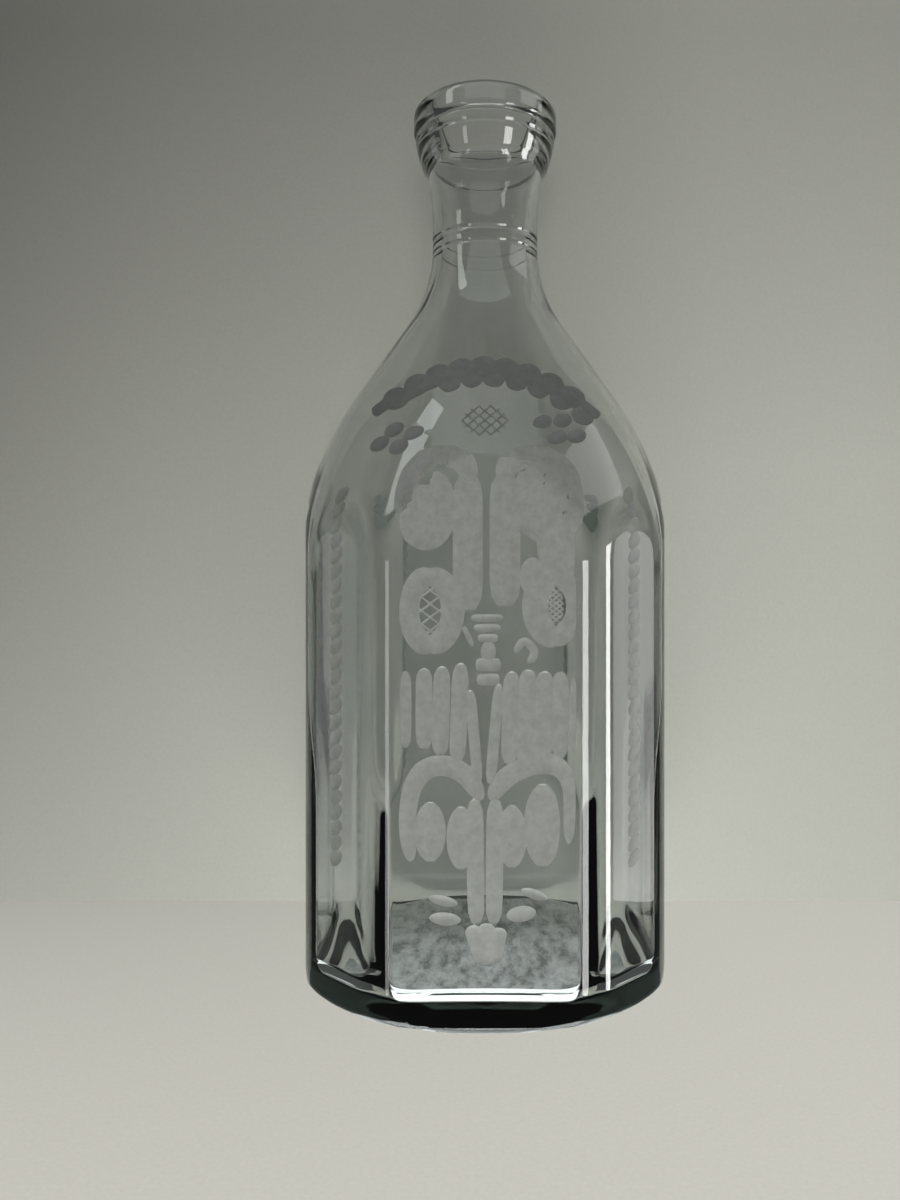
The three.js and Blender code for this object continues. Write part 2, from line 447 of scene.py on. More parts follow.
def add_string_ring(add):
    """Up the lower ring of the lip, with its groove and the seam under the upper ring."""
    for z in np.linspace(LIP_BOTTOM, STRING_TOP, STRING_ROWS):
        share = (z - LIP_BOTTOM) / STRING_RING_HEIGHT
        bulge = (STRING_RING_TOP - STRING_RING_FOOT) * np.sin(share * math.pi / 2)
        cut = groove(z, LIP_BOTTOM + STRING_GROOVE_HEIGHT, STRING_GROOVE_WIDTH, STRING_GROOVE_DEPTH)
        seam = groove(z, STRING_TOP, SEAM_WIDTH, SEAM_DEPTH)
        add(MOUTH_RADIUS + STRING_RING_FOOT + bulge - cut - seam, z)


def add_lip_ring(add):
    """Up the upper ring of the lip, over its rounded rim and into the bore."""
    outer = MOUTH_RADIUS + LIP_RING_WIDTH
    for z in np.linspace(STRING_TOP + LIP_ROWS_RISE, HEIGHT - LIP_ROUND, LIP_SIDE_ROWS):
        add(outer - SEAM_DEPTH * np.clip(1 - (z - STRING_TOP) / SEAM_RISE, 0, 1) ** 2, z)
    for turn in np.linspace(0, math.pi / 2, LIP_ROUND_ROWS)[1:]:
        add(outer - LIP_ROUND + LIP_ROUND * np.cos(turn), HEIGHT - LIP_ROUND + LIP_ROUND * np.sin(turn))
    for turn in np.linspace(math.pi / 2, math.pi, LIP_INNER_ROWS):
        radius = MOUTH_BORE + LIP_INNER_ROUND + LIP_INNER_ROUND * np.cos(turn)
        add(radius, HEIGHT - LIP_INNER_ROUND + LIP_INNER_ROUND * np.sin(turn))


def add_inside(add, angles):
    """Down the bore and the hollow, round the edge of the floor and in to its middle."""
    for z in np.linspace(HEIGHT - BORE_ROWS_DROP, FLARE_BOTTOM, BORE_ROWS):
        add(flare_radius(z, NECK_RADIUS - NECK_WALL, MOUTH_BORE), z)
    for z in np.linspace(FLARE_BOTTOM, FLOOR_THICKNESS + FLOOR_ROUND, HOLLOW_ROWS)[1:]:
        outside = body_radius(z)
        depth = UNEVEN_DEPTH * min(1, outside / BODY_RADIUS)
        add(hollow_plan(angles, z, outside, PANEL_BLEND) + unevenness(angles, z, depth), z)
    for turn in np.linspace(0, math.pi / 2, FLOOR_ROUND_ROWS)[1:]:
        z = FLOOR_THICKNESS + FLOOR_ROUND * (1 - math.sin(turn))
        plan = hollow_plan(angles, z, BODY_RADIUS, PANEL_BLEND + FLOOR_CORNER_BLEND * math.sin(turn))
        add(plan - FLOOR_ROUND * (1 - math.cos(turn)), z)
    for share in np.linspace(1, 0, FLOOR_ROWS)[1:-1]:
        add(floor_plan(angles) * share, FLOOR_THICKNESS)


def flask_points(angles):
    """Rings of points over the whole skin, from the middle of the foot to the middle of the floor."""
    rings = []

    def add(radius, z):
        radius = np.broadcast_to(radius, angles.shape)
        z = np.broadcast_to(z, angles.shape)
        rings.append(np.stack([radius * np.cos(angles), radius * np.sin(angles), z], axis=1))

    panels = outside_plan(angles)
    add_underside(add, angles, panels)
    add_foot(add, angles, panels)
    add_body(add, panels)
    add_neck(add)
    add_string_ring(add)
    add_lip_ring(add)
    add_inside(add, angles)
    return np.stack(rings)


def closed_skin(name, rings, bottom, top):
    """Mesh of rings of points, closed by one point at each end."""
    rows, columns = rings.shape[:2]
    points = np.concatenate([rings.reshape(-1, 3), [bottom, top]]) * MM
    column = np.arange(columns)
    after = (column + 1) % columns
    faces = []
    for row in range(rows - 1):
        low = row * columns
        high = low + columns
        faces.extend(np.stack([low + column, low + after, high + after, high + column], axis=1).tolist())
    first = rows * columns
    last = first + 1
    end = first - columns
    faces.extend(np.stack([np.full(columns, first), after, column], axis=1).tolist())
    faces.extend(np.stack([np.full(columns, last), end + column, end + after], axis=1).tolist())
    mesh = bpy.data.meshes.new(name)
    mesh.from_pydata(points.tolist(), [], faces)
    mesh.shade_smooth()
    return linked(name, mesh)


def film_over_floor(angles):
    """Film that lies just over the flat of the inner floor."""
    plan = floor_plan(angles)
    level = np.full_like(angles, FLOOR_THICKNESS + FILM_GAP)
    points = np.stack([plan * np.cos(angles), plan * np.sin(angles), level], axis=1) * MM
    mesh = bpy.data.meshes.new("dried_film")
    mesh.from_pydata(points.tolist(), [], [range(len(angles))])
    mesh.materials.append(film_material())
    return linked("dried_film", mesh)


# Strokes of the ornament: each cut is a path across and up its panel, a width and the fullness of its ends


def oval(u, z, length, width, lean=0.0):
    """Short cut about a middle point, leaning by so many degrees from upright."""
    turn = math.radians(lean)
    half = np.array([math.sin(turn), math.cos(turn)]) * length / 2
    return [(u - half[0], z - half[1]), (u + half[0], z + half[1])], width, OVAL_END


def stroke(points, width):
    return points, width, STROKE_END


def lattice(u, z, wide, high, lines, slope):
    """Crossing thin cuts inside an oval field, leaning by so many degrees to both sides."""
    radii = np.array([wide / 2, high / 2])
    cuts = []
    for lean in (slope, -slope):
        along = np.array([math.sin(math.radians(lean)), math.cos(math.radians(lean))])
        across = np.array([along[1], -along[0]])
        reach = np.hypot(*(across * radii))
        for offset in np.linspace(-LATTICE_SPREAD, LATTICE_SPREAD, lines):
            middle = across * offset * reach
            square = np.sum((along / radii) ** 2)
            slant = np.sum(along * middle / radii**2)
            rest = np.sum((middle / radii) ** 2) - 1
            root = math.sqrt(slant * slant - square * rest)
            ends = [middle + along * (-slant + side * root) / square for side in (-1, 1)]
            cuts.append(stroke([(u + end[0], z + end[1]) for end in ends], LATTICE_WIDTH))
    return cuts


def ring(u, z, wide, high, width):
    """Oval ring, cut in two strokes that overlap at top and bottom."""
    halves = []
    for start in RING_STARTS:
        turns = np.radians(np.linspace(start, start + RING_SWEEP, RING_POINTS))
        points = [(u + wide / 2 * math.cos(turn), z + high / 2 * math.sin(turn)) for turn in turns]
        halves.append(stroke(points, width))
    return halves


def festoon_height(u):
    return FESTOON_TOP - FESTOON_BEND * u**2


def festoon():
    """Garland of overlapping ovals in two rows over the shoulder, with a small tail at each end."""
    cuts = [stroke([(-26.0, 136.4), (-21.0, 139.4)], 3.4), stroke([(26.4, 135.6), (21.6, 138.8)], 3.0)]
    band = np.linspace(*FESTOON_BAND_SIDES, FESTOON_BAND_POINTS)
    cuts.append(stroke([(u, festoon_height(u) - FESTOON_BAND_DROP) for u in band], FESTOON_BAND_WIDTH))
    for i, u in enumerate(np.linspace(*FESTOON_SIDES, FESTOON_OVALS)):
        cuts.append(oval(u, festoon_height(u), *FESTOON_UPPER_OVAL, FESTOON_LEAN * u))
        if i >= FESTOON_LOWER_FIRST:
            lower = u + FESTOON_LOWER_SHIFT
            cuts.append(oval(lower, festoon_height(lower) - FESTOON_LOWER_DROP, *FESTOON_LOWER_OVAL))
    return cuts


def flower(u, z, lean):
    """Four petals set crosswise, the whole leaning by so many degrees."""
    cosine = math.cos(math.radians(lean))
    sine = math.sin(math.radians(lean))
    cuts = []
    for along, across in PETAL_PLACES:
        petal_u = u + along * cosine - across * sine
        petal_z = z + along * sine + across * cosine
        cuts.append(oval(petal_u, petal_z, PETAL_LENGTH, PETAL_WIDTH, PETAL_LEAN))
    return cuts


def volutes():
    """Two scrolls that spring from a split stem, each with a knob rolled up in it."""
    left = [(-2.8, 118.9), (-4.9, 123.4), (-9.5, 124.6), (-14.1, 123.0)]
    left += [(-16.4, 118.5), (-17.0, 113.3), (-15.9, 108.1), (-13.1, 106.4)]
    right = [(3.7, 118.9), (5.4, 123.0), (9.7, 124.6), (14.5, 123.9)]
    right += [(17.8, 120.4), (18.8, 114.6), (18.1, 108.1), (16.6, 102.1)]
    return [
        stroke(left, 5.4),
        oval(-10.9, 113.2, 16.5, 9.6),
        oval(-12.7, 107.4, 6.4, 9.0),
        oval(-14.6, 117.4, 11.0, 4.4, 20),
        stroke(right, 5.4),
        oval(12.8, 115.4, 19.5, 14.0),
        oval(15.4, 105.4, 13.0, 8.8),
        oval(10.2, 98.6, 8.0, 5.8),
        oval(18.6, 108.0, 26.0, 4.6),
        stroke([(-3.7, 121.0), (-3.7, 90.9)], 6.6),
        stroke([(4.3, 121.0), (4.3, 91.8)], 6.8),
    ]


def hatched_fields():
    """Two oval rings, each with a lattice in it."""
    left = (-11.8, 91.2)
    right = (15.3, 92.2)
    return [
        *ring(*left, 9.8, 14.5, 5.2),
        *lattice(*left, 5.0, 11.0, 4, 52),
        *ring(*right, 9.0, 13.0, 5.8),
        *lattice(*right, 3.6, 7.4, 6, 52),
    ]


def cup():
    """Small cup of short level strokes, with a hook beside it."""
    return [
        stroke([(-3.0, 89.6), (4.0, 89.6)], 1.7),
        stroke([(-2.4, 87.5), (3.4, 87.5)], 1.7),
        stroke([(-1.6, 85.3), (2.8, 85.3)], 1.8),
        stroke([(-4.6, 87.8), (-2.6, 83.6)], 1.2),
        oval(0.7, 82.4, 4.6, 3.4),
        stroke([(-2.0, 79.6), (3.4, 79.6)], 3.0),
        stroke([(-1.8, 76.4), (3.2, 76.4)], 2.6),
        stroke([(6.4, 82.2), (8.4, 84.6), (10.6, 82.4), (9.4, 79.8)], 1.8),
    ]


def comb():
    """Upright leaves hanging side by side, with a clear wedge between the middle two."""
    leaves = [
        ((-17.2, 78.4), (-17.2, 61.5), 3.0),
        ((-13.1, 78.9), (-13.1, 61.3), 3.7),
        ((-9.2, 79.3), (-9.7, 60.0), 3.8),
        ((-5.2, 80.0), (-6.0, 58.5), 3.7),
        ((-3.2, 74.2), (-1.5, 53.7), 2.4),
        ((3.0, 75.5), (1.1, 53.7), 2.4),
        ((5.8, 78.2), (5.2, 58.1), 3.8),
        ((9.3, 78.6), (8.6, 57.8), 4.3),
        ((12.9, 78.2), (12.3, 59.0), 4.4),
        ((16.4, 78.2), (16.4, 59.4), 4.4),
        ((19.6, 77.7), (19.6, 60.0), 3.6),
    ]
    return [stroke([top, bottom], width) for top, bottom, width in leaves]


def lower_leaves():
    """Two arches that spring from the lower stem, with upright petals under them."""
    left = [(-0.6, 50.5), (-4.1, 55.7), (-8.4, 57.8), (-12.5, 57.2)]
    left += [(-15.5, 53.9), (-16.8, 49.2), (-17.0, 43.6), (-16.1, 37.2)]
    right = [(1.1, 50.5), (4.3, 55.0), (8.8, 57.6), (13.5, 58.3)]
    right += [(16.8, 57.0), (18.5, 53.5), (18.7, 47.9), (18.1, 40.2)]
    return [
        stroke(left, 4.6),
        stroke(right, 4.6),
        oval(-11.8, 43.6, 13.0, 7.0),
        oval(-5.2, 42.3, 13.6, 6.4),
        oval(12.4, 45.0, 18.0, 8.4),
        oval(5.8, 42.6, 13.6, 6.6),
    ]


def lower_stem():
    """Split stem with small leaves to both sides and a foot of three short strokes."""
    return [
        stroke([(-2.2, 50.9), (-1.9, 23.6)], 3.8),
        stroke([(2.2, 50.9), (1.9, 23.6)], 3.8),
        oval(-9.0, 28.8, 6.4, 2.3, 102),
        oval(-8.6, 24.9, 6.8, 2.9, 95),
        oval(7.8, 26.0, 6.4, 3.5, 82),
        oval(10.6, 30.2, 6.0, 2.2, 110),
        stroke([(-3.0, 23.5), (-0.4, 15.5)], 3.6),
        stroke([(3.4, 23.0), (1.6, 15.5)], 3.4),
        stroke([(0.3, 24.0), (0.6, 14.8)], 4.0),
    ]


def shoulder_cuts():
    return [
        *festoon(),
        *flower(-19.7, 129.4, 14),
        *flower(16.6, 131.4, -20),
        *lattice(0.0, 132.8, 10.6, 7.6, 5, 48),
    ]


def front_cuts():
    return [
        *volutes(),
        *hatched_fields(),
        *cup(),
        *comb(),
        *lower_leaves(),
        *lower_stem(),
    ]


def rope_cuts():
    """Rope of slanting cuts down the middle of a narrow panel."""
    heights = np.arange(ROPE_TOP, ROPE_BOTTOM, -ROPE_PITCH)
    return [oval(0.0, z, ROPE_CUT_LENGTH, ROPE_CUT_WIDTH, ROPE_CUT_LEAN) for z in heights]


# Cutting of the ornament


def smooth_path(points):
    """Curve through a few points of a stroke, with its steps closer together towards both ends."""
    points = np.array(points, float)
    padded = np.concatenate([[2 * points[0] - points[1]], points, [2 * points[-1] - points[-2]]])
    steps = CUT_STEPS + CUT_STEPS // 2 * (len(points) - 2)
    reach = (1 - np.cos(np.linspace(0, math.pi, steps))) / 2 * (len(points) - 1)
    start = np.minimum(reach.astype(int), len(points) - 2)
    share = (reach - start)[:, None]
    before, first, second, after = (padded[start + i] for i in range(4))
    bend = 2 * before - 5 * first + 4 * second - after
    twist = 3 * first - before - 3 * second + after
    return first + 0.5 * share * (second - before + share * (bend + share * twist))


def on_skin(u, z, lift, flat, turn):
    """Points at a distance from the skin of the panel whose plane lies at flat, turned about the axis."""

    def depth(u, z):
        return np.minimum(flat, np.sqrt(body_radius(z) ** 2 - u**2))

    here = depth(u, z)
    slope_u = (here - depth(u + SLOPE_STEP, z)) / SLOPE_STEP
    slope_z = (here - depth(u, z + SLOPE_STEP)) / SLOPE_STEP
    normal = np.stack([slope_u, np.full_like(u, -1), slope_z], axis=-1)
    normal /= np.linalg.norm(normal, axis=-1, keepdims=True)
    points = np.stack([u, -here, z], axis=-1) + normal * np.asarray(lift)[..., None]
    x = points[..., 0] * math.cos(turn) - points[..., 1] * math.sin(turn)
    y = points[..., 0] * math.sin(turn) + points[..., 1] * math.cos(turn)
    return np.stack([x, y, points[..., 2]], axis=-1)


def cut_rings(cut, flat, turn):
    """Rings of points round the lens-shaped body that one cut takes out of the glass."""
    points, width, end = cut
    path = smooth_path(points)
    reach = -np.cos(np.linspace(0, math.pi, len(path)))
    swell = np.sqrt(np.clip(1 - np.abs(reach) ** end, CUT_TIP**2, 1))
    along = np.gradient(path, axis=0)
    along /= np.linalg.norm(along, axis=1, keepdims=True)
    across = np.stack([along[:, 1], -along[:, 0]], axis=1)
    section = np.linspace(-CUT_OVERRUN, CUT_OVERRUN, CUT_SECTION)
    half = width / 2 * swell
    depth = min(CUT_DEPTH, CUT_DEPTH_SHARE * width) * swell
    low = -depth[:, None] * (1 - section**2)
    high = np.full_like(low, CUT_LIFT)
    offset = np.concatenate([section, section[::-1]])
    lift = np.concatenate([low, high], axis=1)
    plan = path[:, None, :] + across[:, None, :] * (half[:, None] * offset)[..., None]
    return on_skin(plan[..., 0], plan[..., 1], lift, flat, turn)


def cutter(name, cuts, material):
    """One object out of cuts that keep clear of each other, each a closed lens-shaped body."""
    shape = bmesh.new()
    for rings in cuts:
        rows = [[shape.verts.new(point) for point in row] for row in rings * MM]
        for low, high in zip(rows, rows[1:]):
            for i in range(len(low)):
                shape.faces.new((low[i - 1], low[i], high[i], high[i - 1]))
        shape.faces.new(rows[0])
        shape.faces.new(rows[-1])
    bmesh.ops.recalc_face_normals(shape, faces=shape.faces)
    mesh = bpy.data.meshes.new(name)
    shape.to_mesh(mesh)
    shape.free()
    mesh.materials.append(material)
    return linked(name, mesh)


def clear_layers(cuts):
    """Sorts the cuts into layers in which no two of them touch."""
    layers = []
    for rings in cuts:
        box = (rings.reshape(-1, 3).min(axis=0), rings.reshape(-1, 3).max(axis=0))
        for layer in layers:
            if not any(np.all(box[0] < other[1]) and np.all(other[0] < box[1]) for _, other in layer):
                layer.append((rings, box))
                break
        else:
            layers.append([(rings, box)])
    return [[rings for rings, _ in layer] for layer in layers]


def carve(piece, cuts, material):
    """Takes cuts out of the skin, layer by layer."""
    for layer in clear_layers(cuts):
        tool = cutter("wheel", layer, material)
        step = piece.modifiers.new("cut", "BOOLEAN")
        step.operation = "DIFFERENCE"
        step.solver = "MANIFOLD"
        step.material_mode = "TRANSFER"
        step.object = tool
        graph = bpy.context.evaluated_depsgraph_get()
        carved = bpy.data.meshes.new_from_object(piece.evaluated_get(graph))
        piece.modifiers.clear()
        piece.data = carved
        bpy.data.objects.remove(tool)


def keep_edges_sharp(piece):
    """Smooth shading everywhere but along the edges between two materials."""
    shape = bmesh.new()
    shape.from_mesh(piece.data)
    for edge in shape.edges:
        edge.smooth = len({face.material_index for face in edge.link_faces}) == 1
    for face in shape.faces:
        face.smooth = True
    shape.to_mesh(piece.data)
    shape.free()


def cut_ornament(piece):
    """Cuts the shoulder, the front and the narrow panels, which are every second one."""
    over_shoulder = [cut_rings(cut, APOTHEM, 0) for cut in shoulder_cuts()]
    over_panels = [cut_rings(cut, APOTHEM, 0) for cut in front_cuts()]
    for panel in range(1, PANELS, 2):
        over_panels += [cut_rings(cut, CORNER_APOTHEM, panel * PANEL_TURN) for cut in rope_cuts()]
    # The shoulder cuts take the darker copy of the ground glass, as painted shade
    carve(piece, over_shoulder, cut_material("painted_shade_ground_glass", *PAINTED_SHADE_GROUND_TONES))
    carve(piece, over_panels, cut_material("ground_glass", *GROUND_TONES))
    keep_edges_sharp(piece)


# Patterns and mixtures in materials


def noise(tree, scale, detail, roughness=0.5, stretch=(1, 1, 1)):
    """Cloudy pattern fixed to the piece, drawn out by a stretch along each axis."""
    place = tree.nodes.new("ShaderNodeTexCoord")
    drawn = tree.nodes.new("ShaderNodeMapping")
    drawn.inputs["Scale"].default_value = stretch
    tree.links.new(place.outputs["Object"], drawn.inputs["Vector"])
    pattern = tree.nodes.new("ShaderNodeTexNoise")
    pattern.inputs["Scale"].default_value = scale
    pattern.inputs["Detail"].default_value = detail
    pattern.inputs["Roughness"].default_value = roughness
    tree.links.new(drawn.outputs["Vector"], pattern.inputs["Vector"])
    return pattern.outputs["Fac"]


def mottled(tree, stretch, scale, dark, light):
    """Uneven colour in soft patches with finer specks in them."""
    ramp = tree.nodes.new("ShaderNodeValToRGB")
    for stop, edge, colour in zip(ramp.color_ramp.elements, PATCH_EDGES, (dark, light)):
        stop.position = edge
        stop.color = colour
    tree.links.new(noise(tree, scale, PATCH_DETAIL, PATCH_ROUGHNESS, stretch), ramp.inputs["Fac"])
    return ramp.outputs["Color"]


def share_between(tree, value, start, end):
    """Share from 0 to 1 as a value passes from a start to an end."""
    share = tree.nodes.new("ShaderNodeMapRange")
    share.inputs["From Min"].default_value = start
    share.inputs["From Max"].default_value = end
    tree.links.new(value, share.inputs["Value"])
    return share.outputs["Result"]


def value_between(tree, share, first, second):
    """Value from a first to a second as a share passes from 0 to 1."""
    value = tree.nodes.new("ShaderNodeMapRange")
    value.inputs["To Min"].default_value = first
    value.inputs["To Max"].default_value = second
    tree.links.new(share, value.inputs["Value"])
    return value.outputs["Result"]


def combined(tree, operation, first, second):
    """Two varying values brought together by an operation."""
    node = tree.nodes.new("ShaderNodeMath")
    node.operation = operation
    tree.links.new(first, node.inputs[0])
    tree.links.new(second, node.inputs[1])
    return node.outputs["Value"]


def mixed_colours(tree, first, second, share=None, blend="MIX"):
    """Two colours mixed by a share, or fully blended where there is none."""
    mix = tree.nodes.new("ShaderNodeMix")
    mix.data_type = "RGBA"
    mix.blend_type = blend
    mix.inputs["Factor"].default_value = 1
    if share is not None:
        tree.links.new(share, mix.inputs["Factor"])
    tree.links.new(first, mix.inputs[FIRST_COLOUR])
    tree.links.new(second, mix.inputs[SECOND_COLOUR])
    return mix.outputs[MIXED_COLOUR]


def mixed_shaders(tree, share, first, second):
    mix = tree.nodes.new("ShaderNodeMixShader")
    tree.links.new(share, mix.inputs["Fac"])
    tree.links.new(first, mix.inputs[1])
    tree.links.new(second, mix.inputs[2])
    return mix.outputs["Shader"]


# Glass


def glass_shell(name, passing):
    """Smooth glass without body, which dims the light of a lamp to a passing share."""
    material = bpy.data.materials.new(name)
    material.use_nodes = True
    tree = material.node_tree
    shader = tree.nodes["Principled BSDF"]
    shader.inputs["Base Color"].default_value = GLASS_COLOUR
    shader.inputs["Roughness"].default_value = 0
    shader.inputs["IOR"].default_value = GLASS_REFRACTION
    shader.inputs["Transmission Weight"].default_value = 1
    path = tree.nodes.new("ShaderNodeLightPath")
    clear = tree.nodes.new("ShaderNodeBsdfTransparent")
    clear.inputs["Color"].default_value = (passing, passing * PASSING_GREEN, passing, 1)
    shadow = path.outputs["Is Shadow Ray"]
    shaded = mixed_shaders(tree, shadow, shader.outputs["BSDF"], clear.outputs["BSDF"])
    tree.links.new(shaded, tree.nodes["Material Output"].inputs["Surface"])
    return material


def glass_body(name, passing):
    """Glass with the grey-green tint that shows where it is thick."""
    material = glass_shell(name, passing)
    tree = material.node_tree
    absorb = tree.nodes.new("ShaderNodeVolumeAbsorption")
    absorb.inputs["Color"].default_value = THICK_COLOUR
    absorb.inputs["Density"].default_value = THICK_DENSITY
    tree.links.new(absorb.outputs["Volume"], tree.nodes["Material Output"].inputs["Volume"])
    return material


def clear_material():
    """Clear glass with faint smudges."""
    material = glass_body("clear_glass", CLEAR_PASSING)
    tree = material.node_tree
    tint = mottled(tree, SMUDGE_STRETCH, SMUDGE_SCALE, *SMUDGE_TONES)
    tree.links.new(tint, tree.nodes["Principled BSDF"].inputs["Base Color"])
    return material


def cut_material(name, dark, light):
    """Matte ground glass inside the cuts; its darker copy on the shoulder is painted shade."""
    material = glass_body(name, 0)
    tree = material.node_tree
    shader = tree.nodes["Principled BSDF"]
    shader.inputs["Transmission Weight"].default_value = GROUND_TRANSMISSION
    grain = noise(tree, GROUND_GRAIN_SCALE, GROUND_GRAIN_DETAIL)
    tree.links.new(value_between(tree, grain, *GROUND_ROUGHNESS), shader.inputs["Roughness"])
    tint = mottled(tree, (1, 1, 1), GROUND_PATCH_SCALE, dark, light)
    tree.links.new(tint, shader.inputs["Base Color"])
    return material


def film_material():
    """Dried film in patches."""
    material = glass_shell("dried_film", FILM_PASSING)
    tree = material.node_tree
    shader = tree.nodes["Principled BSDF"]
    shader.inputs["Transmission Weight"].default_value = FILM_TRANSMISSION
    shader.inputs["Roughness"].default_value = FILM_ROUGHNESS
    tint = mottled(tree, FILM_STRETCH, FILM_SCALE, *FILM_TONES)
    tree.links.new(tint, shader.inputs["Base Color"])
    return material


# Stage


def tone_ramp(tree, share, tones):
    """Pale paper tones, a touch warmer than neutral, spread evenly over a share from 0 to 1: painted light
    on the stage, grain in the paper.
    """
    ramp = tree.nodes.new("ShaderNodeValToRGB")
    stops = ramp.color_ramp.elements
    while len(stops) < len(tones):
        stops.new(0.5)
    for i, tone in enumerate(tones):
        stops[i].position = i / (len(tones) - 1)
        stops[i].color = (*(tone * part for part in PAPER_WARMTH), 1)
    tree.links.new(share, ramp.inputs["Fac"])
    return ramp.outputs["Color"]


def graded(tree, axis, ends, left_tones, right_tones):
    """Colour that changes along X and between the ends of another axis, with a faint grain of paper. The
    change is painted light: lighter towards the bottom, the front and the right.
    """
    place = tree.nodes.new("ShaderNodeTexCoord")
    split = tree.nodes.new("ShaderNodeSeparateXYZ")
    tree.links.new(place.outputs["Object"], split.inputs["Vector"])
    across = share_between(tree, split.outputs["X"], *STAGE_SIDES)
    up = share_between(tree, split.outputs[axis], *ends)
    left = tone_ramp(tree, up, left_tones)
    right = tone_ramp(tree, up, right_tones)
    fleck = tone_ramp(tree, noise(tree, PAPER_GRAIN_SCALE, PAPER_GRAIN_DETAIL), PAPER_GRAIN)
    return mixed_colours(tree, mixed_colours(tree, left, right, across), fleck, blend="MULTIPLY")


def stage_material(name, glow_share, axis, ends, left_tones, right_tones):
    """Paper that glows with a share of its tone to the eye and through glass, as painted light. Lamps light
    the rest.
    """
    material = bpy.data.materials.new(name)
    material.use_nodes = True
    tree = material.node_tree
    tone = graded(tree, axis, ends, left_tones, right_tones)
    paper = tree.nodes["Principled BSDF"]
    paper.inputs["Roughness"].default_value = PAPER_ROUGHNESS
    paper.inputs["Specular IOR Level"].default_value = PAPER_GLOSS
    tree.links.new(tone, paper.inputs["Base Color"])
    glow = tree.nodes.new("ShaderNodeEmission")
    tree.links.new(tone, glow.inputs["Color"])
    path = tree.nodes.new("ShaderNodeLightPath")
    seen = combined(tree, "MAXIMUM", path.outputs["Is Camera Ray"], path.outputs["Is Transmission Ray"])
    share = value_between(tree, seen, 0, glow_share)
    shaded = mixed_shaders(tree, share, paper.outputs["BSDF"], glow.outputs["Emission"])
    tree.links.new(shaded, tree.nodes["Material Output"].inputs["Surface"])
    return material


def one_sided(material):
    """Lets everything pass that comes from behind the backdrop."""
    tree = material.node_tree
    surface = tree.nodes["Material Output"].inputs["Surface"]
    front = surface.links[0].from_socket
    geometry = tree.nodes.new("ShaderNodeNewGeometry")
    clear = tree.nodes.new("ShaderNodeBsdfTransparent")
    shaded = mixed_shaders(tree, geometry.outputs["Backfacing"], front, clear.outputs["BSDF"])
    tree.links.new(shaded, surface)


def sheet(name, corners, material):
    mesh = bpy.data.meshes.new(name)
    mesh.from_pydata(corners, [], [(0, 1, 2, 3)])
    mesh.materials.append(material)
    piece = linked(name, mesh)
    return piece


def lay_floor():
    """Pale floor, which neither shades the flask nor shows in the glass, and glows with most of its tone as
    painted light.
    """
    ends = (BACKDROP_Y, FLOOR_FRONT)
    material = stage_material("pale_floor", FLOOR_GLOW_SHARE, "Y", ends, FLOOR_LEFT_PAINTED_LIGHT, FLOOR_RIGHT_PAINTED_LIGHT)
    signs = [(-1, -1), (1, -1), (1, 1), (-1, 1)]
    floor = sheet("floor", [(x * FLOOR_REACH, y * FLOOR_REACH, 0) for x, y in signs], material)
    floor.visible_transmission = False
    floor.visible_glossy = False
    floor.visible_shadow = False
    floor.visible_diffuse = False


def hang_backdrop():
    """Pale paper right behind the flask, darker towards the top and the left as painted light."""
    tones = (BACKDROP_LEFT_PAINTED_LIGHT, BACKDROP_RIGHT_PAINTED_LIGHT)
    material = stage_material("pale_backdrop", BACKDROP_GLOW_SHARE, "Z", BACKDROP_TONE_ENDS, *tones)
    one_sided(material)
    corners = [(0, 0), (1, 0), (1, 1), (0, 1)]
    sheet("backdrop", [(BACKDROP_SIDES[i], BACKDROP_Y, BACKDROP_ENDS[j]) for i, j in corners], material)


# Light


def area_light(name, place, aim, size, watts, colour):
    data = bpy.data.lights.new(name, "AREA")
    data.shape = "RECTANGLE"
    data.size, data.size_y = size
    data.energy = watts
    data.color = colour
    lamp = linked(name, data)
    lamp.location = place
    lamp.rotation_euler = (Vector(aim) - Vector(place)).to_track_quat("-Z", "Y").to_euler()
    return lamp


def mirrored_windows():
    """Windows that show in the glass: one through the floor of the flask, the others as reflections."""
    through_floor = area_light("foot_window", (0, 0.065, -0.2), (0, 0.065, 0), (0.3, 0.31), 0.52, COOL)
    through_floor.visible_diffuse = False
    reflected = [
        area_light("bevel_window", (0, -0.155, -0.2), (0, -0.155, 0), (0.3, 0.22), 1.5, COOL),
        area_light("ceiling", (0, -0.65, 1.05), (0, 0, 0.13), (1.2, 1.1), 3.6, CEILING_COLOUR),
        area_light("side_window", (1.38, -0.25, -0.14), BODY_MIDDLE, (0.28, 0.82), 10.5, WHITE),
        area_light("next_window", (0.86, -1.1, -0.2), BODY_MIDDLE, (0.28, 0.7), 6.4, WHITE),
        area_light("upper_window", (1.1, -0.2, 0.88), (0, 0, 0.12), (0.9, 0.45), 2.1, WHITE),
        area_light("far_window", (-0.72, -0.46, 0.9), (0, -0.03, 0.12), (0.2, 0.8), 1.9, COOL),
        area_light("right_window", (1.2, 0.15, -0.05), BODY_MIDDLE, (0.3, 0.6), 1.3, WHITE),
        area_light("left_window", (-1.2, 0.15, -0.05), BODY_MIDDLE, (0.3, 0.6), 0.5, WHITE),
        area_light("left_front_window", (-0.762, -1.174, -0.2), BODY_MIDDLE, (0.16, 0.7), 1.4, WHITE),
    ]
    for window in reflected:
        window.visible_diffuse = False
        window.visible_transmission = False


def soft_lights():
    """Soft light on the matte surfaces, which does not show in the glass."""
    lamps = [
        area_light("low_light", (0, -0.2, -0.25), (0, 0, 0.03), (0.3, 0.2), 0.8, SOFT_COLOUR),
        area_light("front_light", (0.03, -0.85, 0.08), (0, 0, 0.1), (0.3, 0.3), 2.0, SOFT_COLOUR),
    ]
    for lamp in lamps:
        lamp.visible_glossy = False
        lamp.visible_transmission = False


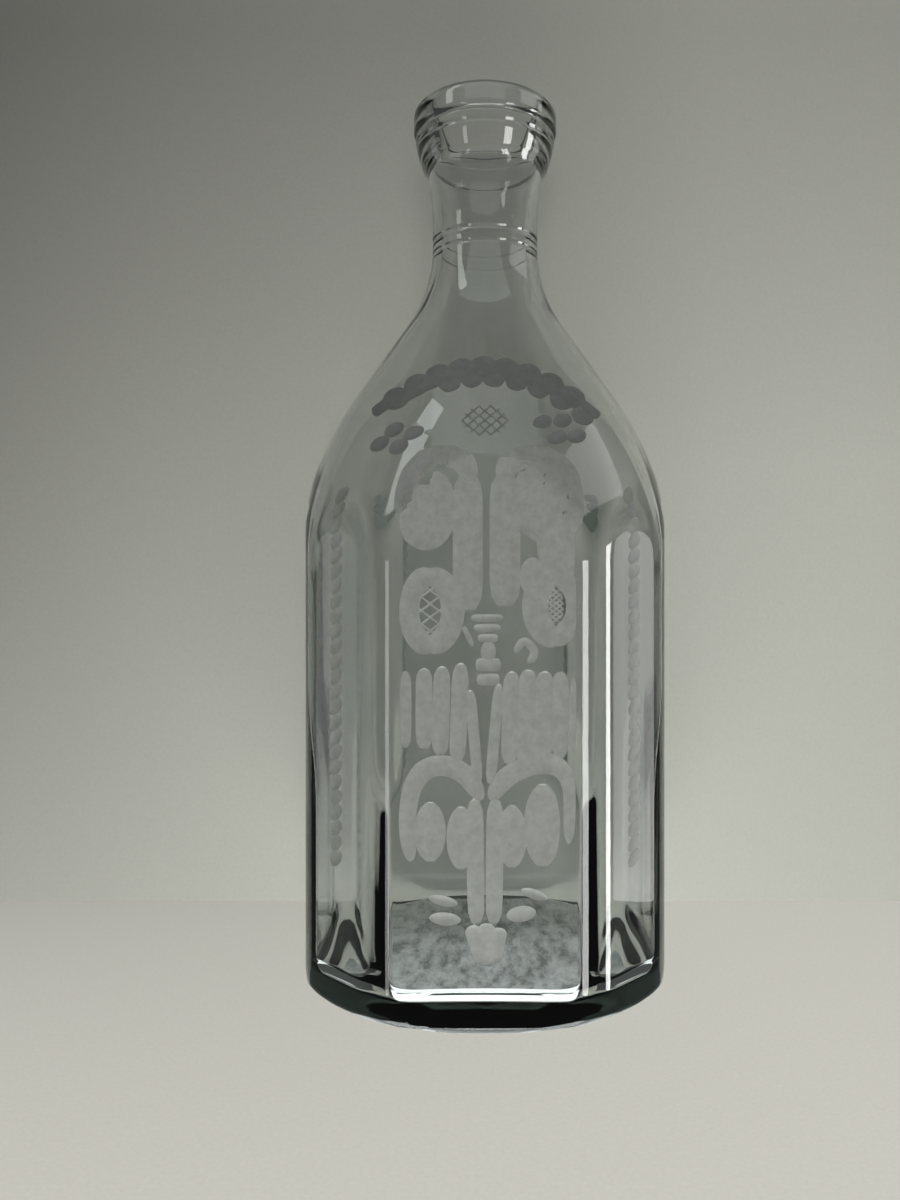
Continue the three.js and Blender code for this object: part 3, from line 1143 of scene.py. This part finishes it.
def room():
    """Soft light all round, weaker from above, which glass mirrors dimly and passes best from the front."""
    world = bpy.data.worlds.new("room")
    world.use_nodes = True
    tree = world.node_tree
    place = tree.nodes.new("ShaderNodeTexCoord")
    split = tree.nodes.new("ShaderNodeSeparateXYZ")
    tree.links.new(place.outputs["Generated"], split.inputs["Vector"])
    height = share_between(tree, split.outputs["Z"], -1, 1)
    level = value_between(tree, height, ROOM_FROM_BELOW, ROOM_FROM_ABOVE)
    behind = share_between(tree, split.outputs["Y"], *ROOM_TURN)
    through = value_between(tree, behind, ROOM_THROUGH_FRONT, ROOM_THROUGH_BACK)
    path = tree.nodes.new("ShaderNodeLightPath")
    mirrored = value_between(tree, path.outputs["Is Glossy Ray"], 1, ROOM_ON_GLASS)
    seen = tree.nodes.new("ShaderNodeMix")
    tree.links.new(path.outputs["Is Transmission Ray"], seen.inputs["Factor"])
    tree.links.new(mirrored, seen.inputs["A"])
    tree.links.new(through, seen.inputs["B"])
    background = tree.nodes["Background"]
    background.inputs["Color"].default_value = ROOM_COLOUR
    strength = combined(tree, "MULTIPLY", level, seen.outputs["Result"])
    tree.links.new(strength, background.inputs["Strength"])
    bpy.context.scene.world = world


def camera():
    """Camera close in front of the flask, looking level at it."""
    data = bpy.data.cameras.new("camera")
    data.sensor_width = SENSOR
    data.sensor_height = SENSOR
    data.lens = SENSOR * FOCAL_PIXELS / PICTURE_HEIGHT
    data.shift_x = SHIFT_PIXELS[0] / PICTURE_HEIGHT
    data.shift_y = SHIFT_PIXELS[1] / PICTURE_HEIGHT
    data.clip_start = CAMERA_CLIP
    eye = linked("camera", data)
    eye.location = (0, -CAMERA_DISTANCE, CAMERA_HEIGHT)
    eye.rotation_euler = (math.pi / 2, 0, 0)
    bpy.context.scene.camera = eye


angles = ring_angles()
flask = closed_skin("flask_glass", flask_points(angles), (0, 0, PONTIL_DEPTH), (0, 0, FLOOR_THICKNESS))
flask.data.materials.append(clear_material())
cut_ornament(flask)
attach(flask, "root")
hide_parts("flask_body", "string_ring", "lip_ring")
film = film_over_floor(angles)
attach(film, "root")

lay_floor()
hang_backdrop()
mirrored_windows()
soft_lights()
room()
camera()
bpy.context.scene.view_settings.view_transform = "Standard"
